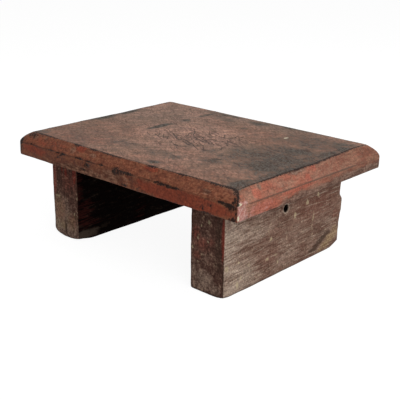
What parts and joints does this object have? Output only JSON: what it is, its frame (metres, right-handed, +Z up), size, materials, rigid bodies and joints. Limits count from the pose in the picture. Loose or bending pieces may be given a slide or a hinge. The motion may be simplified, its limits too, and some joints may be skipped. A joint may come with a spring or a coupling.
{
  "type": "low wooden stool",
  "caption": "Low rectangular wooden stool: a thick plank seat with bevelled edges, slid onto slab legs by hidden dovetails, in worn red paint, with a cord hole through a leg.",
  "frame": {"origin": "on the floor, under the middle of the seat", "axes": "+X along the seat towards the leg with the cord hole, +Y from the front edge to the back edge, +Z up"},
  "size_m": [0.4, 0.308, 0.15],
  "materials": {
    "painted_seat_wood": "old red paint, worn through and grimy, satin on the bevels",
    "weathered_leg_wood": "weathered brown wood with remains of dark red paint, matt",
    "joinery_wood": "bare old wood, matt"
  },
  "bodies": {
    "root": {"seat_plank": "painted_seat_wood", "left_leg": "weathered_leg_wood", "right_leg": "weathered_leg_wood", "left_trench_key": "joinery_wood", "right_trench_key": "joinery_wood", "left_key_peg": "joinery_wood", "right_key_peg": "joinery_wood"}
  },
  "joints": []
}
